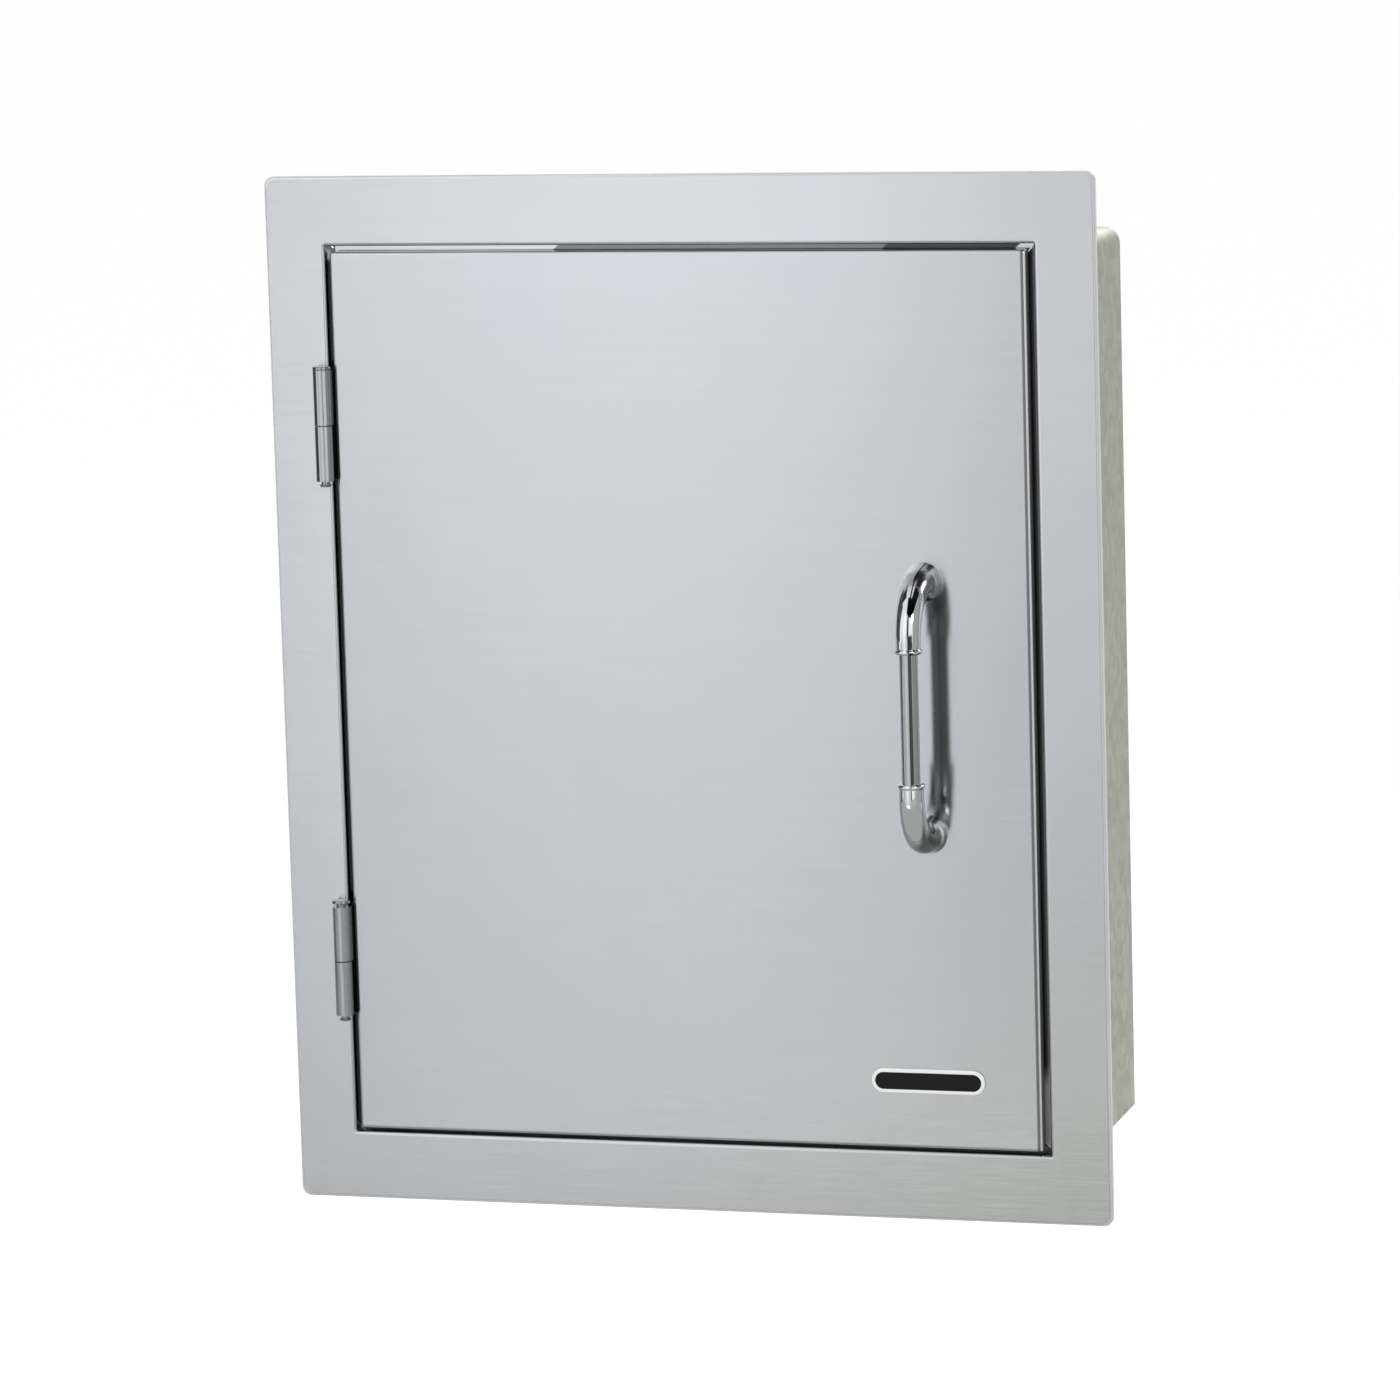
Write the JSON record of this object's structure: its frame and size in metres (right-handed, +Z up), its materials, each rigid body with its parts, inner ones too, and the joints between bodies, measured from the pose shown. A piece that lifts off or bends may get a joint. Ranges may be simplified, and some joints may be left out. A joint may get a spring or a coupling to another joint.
{
  "type": "outdoor kitchen access door",
  "caption": "Flanged stainless access door with a sheet-metal sleeve behind, side hinges, an upright bow pull handle and a small oval badge plate.",
  "frame": {"origin": "centre of the opening, on the plane where the flange's rim seats against the wall", "axes": "+Z up, +Y into the island, +X to the right as seen from the front"},
  "size_m": [0.4318, 0.156, 0.531],
  "materials": {
    "frame_stainless": "brushed, grain along the width",
    "door_stainless": "brushed, grain along the width",
    "rail_stainless": "satin",
    "liner_stainless": "satin",
    "galvanised_sheet": "dull zinc with a faint spangle",
    "hinge_stainless": "satin",
    "pin_steel": "turned",
    "screw_steel": "bright",
    "plated_steel": "zinc plated",
    "handle_chrome": "mirror bright",
    "rod_chrome": "mirror bright",
    "catch_plastic": "moulded",
    "magnet_ferrite": "ground ceramic ferrite",
    "buffer_rubber": "moulded",
    "badge_metal": "polished rim",
    "badge_enamel": "gloss enamel",
    "badge_foam": "adhesive foam"
  },
  "bodies": {
    "frame": {"face_frame": "frame_stainless", "stop_rail_top": "rail_stainless", "stop_rail_latch_side": "rail_stainless", "stop_rail_bottom": "rail_stainless", "stop_rail_hinge_side": "rail_stainless", "sleeve_wrap": "galvanised_sheet", "sleeve_floor": "galvanised_sheet", "hinge_frame_leaf_upper": "hinge_stainless", "hinge_frame_leaf_lower": "hinge_stainless", "hinge_pin_upper": "pin_steel", "hinge_pin_lower": "pin_steel", "hinge_frame_screws": "screw_steel", "catch_bracket": "plated_steel", "catch_housing": "catch_plastic", "catch_magnet": "magnet_ferrite", "catch_pole_plates": "plated_steel", "catch_screws": "screw_steel", "rubber_buffers": "buffer_rubber"},
    "door": {"door_skin": "door_stainless", "door_liner": "liner_stainless", "door_stiffener_upper": "plated_steel", "door_stiffener_lower": "plated_steel", "handle_elbow_upper": "handle_chrome", "handle_elbow_lower": "handle_chrome", "handle_rod": "rod_chrome", "handle_backing_plate": "plated_steel", "handle_spacers": "plated_steel", "handle_washers": "screw_steel", "handle_screws": "screw_steel", "badge_tape": "badge_foam", "badge_plate": "badge_metal", "badge_inlay": "badge_enamel", "hinge_door_leaf_upper": "hinge_stainless", "hinge_door_leaf_lower": "hinge_stainless", "hinge_door_screws": "screw_steel", "strike_plate": "plated_steel", "strike_rivets": "screw_steel"}
  },
  "joints": [
    {"name": "door_swing", "type": "hinge", "parent": "frame", "child": "door", "pos_m": [-0.1866, -0.0089, 0], "axis": [0, 0, -1], "range_deg": [0, 170]}
  ]
}
